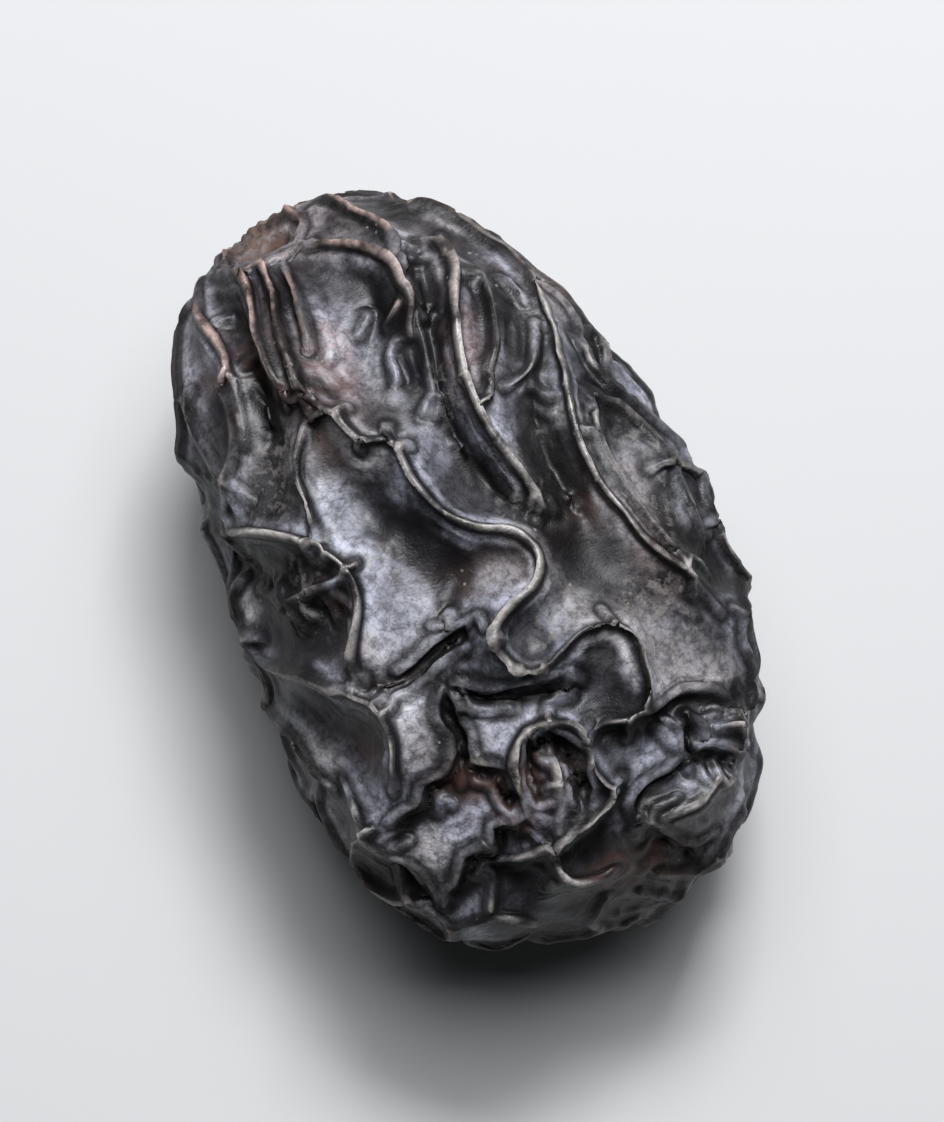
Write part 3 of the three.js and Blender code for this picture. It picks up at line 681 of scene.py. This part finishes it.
class NodeMaker:
    # short calls for the nodes that the finish is made of
    def __init__(self, tree):
        self.tree = tree
        self.places = self.add("ShaderNodeTexCoord").outputs["Object"]

    def add(self, kind, **settings):
        node = self.tree.nodes.new(kind)
        for name, value in settings.items():
            setattr(node, name, value)
        return node

    def feed(self, socket, value):
        if isinstance(value, bpy.types.NodeSocket):
            self.tree.links.new(value, socket)
        else:
            socket.default_value = value

    def combine(self, operation, first, second):
        node = self.add("ShaderNodeMath", operation=operation)
        self.feed(node.inputs[0], first)
        self.feed(node.inputs[1], second)
        return node.outputs["Value"]

    def product(self, first, *others):
        for other in others:
            first = self.combine("MULTIPLY", first, other)
        return first

    def total(self, first, *others):
        for other in others:
            first = self.combine("ADD", first, other)
        return first

    def blend(self, share, under, over):
        node = self.add("ShaderNodeMix", data_type="RGBA", clamp_factor=True)
        colours = [socket for socket in node.inputs if socket.type == "RGBA"]
        self.feed(node.inputs[0], share)
        self.feed(colours[0], under)
        self.feed(colours[1], over)
        return next(socket for socket in node.outputs if socket.type == "RGBA")

    def mapRange(self, value, given):
        node = self.add("ShaderNodeMapRange", interpolation_type="SMOOTHSTEP")
        numbers = (*given["from"], *given.get("to", (0.0, 1.0)))
        for socket, number in zip(node.inputs[:5], (value, *numbers)):
            self.feed(socket, number)
        return node.outputs["Result"]

    def mark(self, name):
        return self.add("ShaderNodeAttribute", attribute_name=name).outputs["Fac"]

    def spot(self, name):
        given = spots[name]
        node = self.add("ShaderNodeTexNoise")
        self.feed(node.inputs["Vector"], self.places)
        self.feed(node.inputs["Scale"], 1 / (given["size"] * mm))
        self.feed(node.inputs["Detail"], given["detail"])
        self.feed(node.inputs["Roughness"], given.get("coarse", finish["coarse"]))
        self.feed(node.inputs["Distortion"], given.get("distortion", 0.0))
        return self.mapRange(node.outputs["Fac"], given) if "from" in given else node.outputs["Fac"]

    def warped(self, size, reach):
        # places pushed about by a slow noise, so that what is drawn there runs unevenly
        node = self.add("ShaderNodeTexNoise")
        self.feed(node.inputs["Vector"], self.places)
        self.feed(node.inputs["Scale"], 1 / (size * mm))
        self.feed(node.inputs["Detail"], 0.0)
        centred = self.add("ShaderNodeVectorMath", operation="SUBTRACT")
        self.feed(centred.inputs[0], node.outputs["Color"])
        self.feed(centred.inputs[1], (0.5, 0.5, 0.5))
        push = self.add("ShaderNodeVectorMath", operation="MULTIPLY_ADD")
        self.feed(push.inputs[0], centred.outputs["Vector"])
        self.feed(push.inputs[1], (reach * mm, reach * mm, reach * mm))
        self.feed(push.inputs[2], self.places)
        return push.outputs["Vector"]

    def cells(self, size, feature="F1", places=None):
        node = self.add("ShaderNodeTexVoronoi", feature=feature)
        self.feed(node.inputs["Vector"], places or self.places)
        self.feed(node.inputs["Scale"], 1 / (size * mm))
        return node.outputs["Distance"]


def bloomAndLightOn(make):
    # how thick the waxy bloom and its painted light lie: on unshaded skin that stands out, in patches, and
    # crackled; hollows and skin beside folds get painted shade
    bloom = make.total(make.spot("bloom"), make.product(make.mark("bloomAndLight"), finish["bloomAndLightShare"]))
    bloom = make.mapRange(bloom, ranges["bloom"])
    high = make.mapRange(make.mark("high"), ranges["high"])
    openSkin = make.mapRange(make.mark("open"), ranges["open"])
    edges = make.cells(finish["crackleSize"], "DISTANCE_TO_EDGE", make.warped(*finish["crackleWarp"]))
    crackle = make.mapRange(edges, ranges["crackle"])
    return make.product(bloom, high, openSkin, make.spot("bloomSpots"), crackle)


def bloomSheenColours(make, stem):
    # cool with a painted sheen, dusty in places, and rosy in patches and near the stem
    colour = make.blend(make.spot("dusty"), finish["bloomSheenColour"], finish["dustyColour"])
    blush = make.product(make.mark("blush"), make.spot("blushSpots"))
    blush = make.combine("MAXIMUM", blush, make.product(stem, finish["stemBlush"]))
    return make.blend(blush, colour, finish["blushColour"])


def skinColour(make, marks, scar):
    # from the dark panels up to their bloom with its painted light, the painted shade beside the folds and
    # in the creases, and the worn crests with their painted highlight
    colour = make.blend(make.spot("panels"), finish["deepColour"], finish["panelColour"])
    warm = make.product(make.spot("warm"), make.spot("warmSpots"))
    colour = make.blend(warm, colour, finish["warmColour"])
    # the bloom, with its painted light and shade
    colour = make.blend(bloomAndLightOn(make), colour, bloomSheenColours(make, marks["stem"]))
    grainy = make.product(marks["grain"], make.spot("grainSpots"))
    colour = make.blend(grainy, colour, finish["grainColour"])
    # painted shade at the bottom of creases and a painted shadow line beside each crest
    creasePaintedShade = make.product(marks["crease"], finish["creaseShade"])
    crestPaintedShadow = make.product(marks["beside"], finish["besideShade"])
    colour = make.blend(make.combine("MAXIMUM", creasePaintedShade, crestPaintedShadow), colour, finish["deepColour"])
    # the pale crest line and knob tops: worn skin with a painted highlight
    crestColour = make.blend(marks["stem"], finish["crestColour"], finish["stemColour"])
    wornAndHighlit = make.product(marks["crest"], make.product(make.spot("wearAndGlint"), make.spot("scuffsAndGlint")))
    colour = make.blend(wornAndHighlit, colour, crestColour)
    colour = make.blend(scar, colour, finish["scarColour"])
    fleck = make.mapRange(make.cells(finish["fleckSize"]), ranges["fleck"])
    return make.blend(make.product(fleck, make.spot("fleckPatches")), colour, finish["fleckColour"])


def skinRoughness(make, marks, scar):
    # polished on the crests, duller where grainy or in creases
    rough = make.total(make.spot("roughness"), make.product(marks["grain"], finish["grainRough"]),
                       make.product(marks["crease"], finish["creaseRough"]),
                       make.product(scar, finish["scarRough"]))
    return make.combine("SUBTRACT", rough, make.product(marks["crest"], finish["crestPolish"]))


def skinBump(make, marks):
    # fine relief: crinkles, pores, ripples along the folds and skin grain
    crinkles = make.product(make.spot("crinkles"), make.spot("crinklePatches"))
    pores = make.product(make.mapRange(make.cells(finish["poreSize"]), ranges["pore"]), finish["poreDepth"])
    fine = make.product(make.spot("fineGrain"), finish["fineDepth"])
    off = make.mark("off")
    wander = make.product(make.spot("rippleWander"), finish["rippleWander"])
    turns = make.product(make.total(off, wander), 2 * math.pi / finish["rippleSize"])
    rippled = make.product(make.spot("ripplePatches"), make.mapRange(off, ranges["rippleReach"]))
    ripples = make.product(make.combine("SINE", turns, 0.0), rippled)
    grains = make.product(marks["grain"], make.spot("grainRelief"))
    bump = make.add("ShaderNodeBump")
    bump.inputs["Strength"].default_value = finish["bumpStrength"]
    bump.inputs["Distance"].default_value = finish["bumpDepth"] * mm
    make.feed(bump.inputs["Height"], make.total(crinkles, pores, fine, ripples, grains))
    return bump.outputs["Normal"]


def makeFinish():
    material = bpy.data.materials.new("dateSkinFinish")
    material.use_nodes = True
    shader = material.node_tree.nodes["Principled BSDF"]
    make = NodeMaker(material.node_tree)
    marks = {name: make.mark(name) for name in ("crest", "crease", "beside", "stem", "grain")}
    scar = make.product(make.mark("scar"), make.spot("scarSpots"))
    make.feed(shader.inputs["Base Color"], skinColour(make, marks, scar))
    make.feed(shader.inputs["Roughness"], skinRoughness(make, marks, scar))
    make.feed(shader.inputs["Normal"], skinBump(make, marks))
    shader.inputs["Specular IOR Level"].default_value = finish["specular"]
    shader.inputs["Coat Weight"].default_value = finish["coatWeight"]
    shader.inputs["Coat Roughness"].default_value = finish["coatRoughness"]
    print("finish: nodes", len(material.node_tree.nodes))
    return material


# the table, the light and the camera, in metres and degrees; lens and film are in millimetres
stage = {
    "tableSize": 1.2,
    "tableColour": (0.40, 0.40, 0.398, 1),
    "tableRoughness": 0.6,
    "skyColour": (0.90, 0.95, 1.0, 1),
    "skyLight": 0.028,
    "middle": (0, 0, 0.009),  # the date's middle, which lamps and camera point at
    "lens": 180,
    "film": 36,
    "near": 0.01,
    "far": 10,
    "lookFrom": (-22, 84),
    "frameHeight": 0.0455,
}
lamps = {
    "overhead": {
        "from": (150, 66),
        "away": 0.5,
        "size": (0.38, 0.30),
        "power": 2.8,
        "colour": (0.93, 0.96, 1.0),
    },
    "key": {
        "from": (148, 56),
        "away": 0.45,
        "size": (0.14, 0.10),
        "power": 2.5,
        "colour": (0.97, 0.98, 1.0),
    },
}


def addTable():
    bm = bmesh.new()
    bmesh.ops.create_grid(bm, x_segments=1, y_segments=1, size=stage["tableSize"] / 2)
    mesh = bpy.data.meshes.new("table")
    bm.to_mesh(mesh)
    bm.free()
    table = bpy.data.objects.new("table", mesh)
    bpy.context.scene.collection.objects.link(table)
    material = bpy.data.materials.new("tableFinish")
    material.use_nodes = True
    shader = material.node_tree.nodes["Principled BSDF"]
    shader.inputs["Base Color"].default_value = stage["tableColour"]
    shader.inputs["Roughness"].default_value = stage["tableRoughness"]
    mesh.materials.append(material)
    print("table:", stage["tableSize"], "m wide")


def towards(azimuth, elevation):
    # the direction from the date out to a camera or lamp; azimuth 0 looks along +Y
    turn, lift = math.radians(azimuth), math.radians(elevation)
    return Vector((math.sin(turn) * math.cos(lift), -math.cos(turn) * math.cos(lift), math.sin(lift)))


def addLamp(name, given):
    lamp = bpy.data.lights.new(name, "AREA")
    lamp.shape = "RECTANGLE"
    lamp.size, lamp.size_y = given["size"]
    lamp.energy = given["power"]
    lamp.color = given["colour"]
    holder = bpy.data.objects.new(name, lamp)
    bpy.context.scene.collection.objects.link(holder)
    middle = Vector(stage["middle"])
    holder.location = middle + given["away"] * towards(*given["from"])
    holder.rotation_euler = (middle - holder.location).to_track_quat("-Z", "Y").to_euler()


def addLight():
    world = bpy.data.worlds.new("studio")
    world.use_nodes = True
    sky = world.node_tree.nodes["Background"]
    sky.inputs["Color"].default_value = stage["skyColour"]
    sky.inputs["Strength"].default_value = stage["skyLight"]
    bpy.context.scene.world = world
    for name, given in lamps.items():
        addLamp(name, given)
    print("light: lamps", len(lamps))


def addCamera():
    lens = bpy.data.cameras.new("camera")
    lens.lens = stage["lens"]
    lens.sensor_width = stage["film"]
    lens.clip_start = stage["near"]
    lens.clip_end = stage["far"]
    camera = bpy.data.objects.new("camera", lens)
    bpy.context.scene.collection.objects.link(camera)
    distance = stage["frameHeight"] * stage["lens"] / stage["film"]
    back = towards(*stage["lookFrom"])
    camera.location = Vector(stage["middle"]) + distance * back
    camera.rotation_euler = (-back).to_track_quat("-Z", "Y").to_euler()
    bpy.context.scene.camera = camera
    print("camera:", round(distance, 4), "m away")


addTable()
addLight()
addCamera()
date = makeSkin()
date.data.materials.append(makeFinish())
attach(date, "root")
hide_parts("date")

bpy.context.scene.view_settings.view_transform = "Standard"
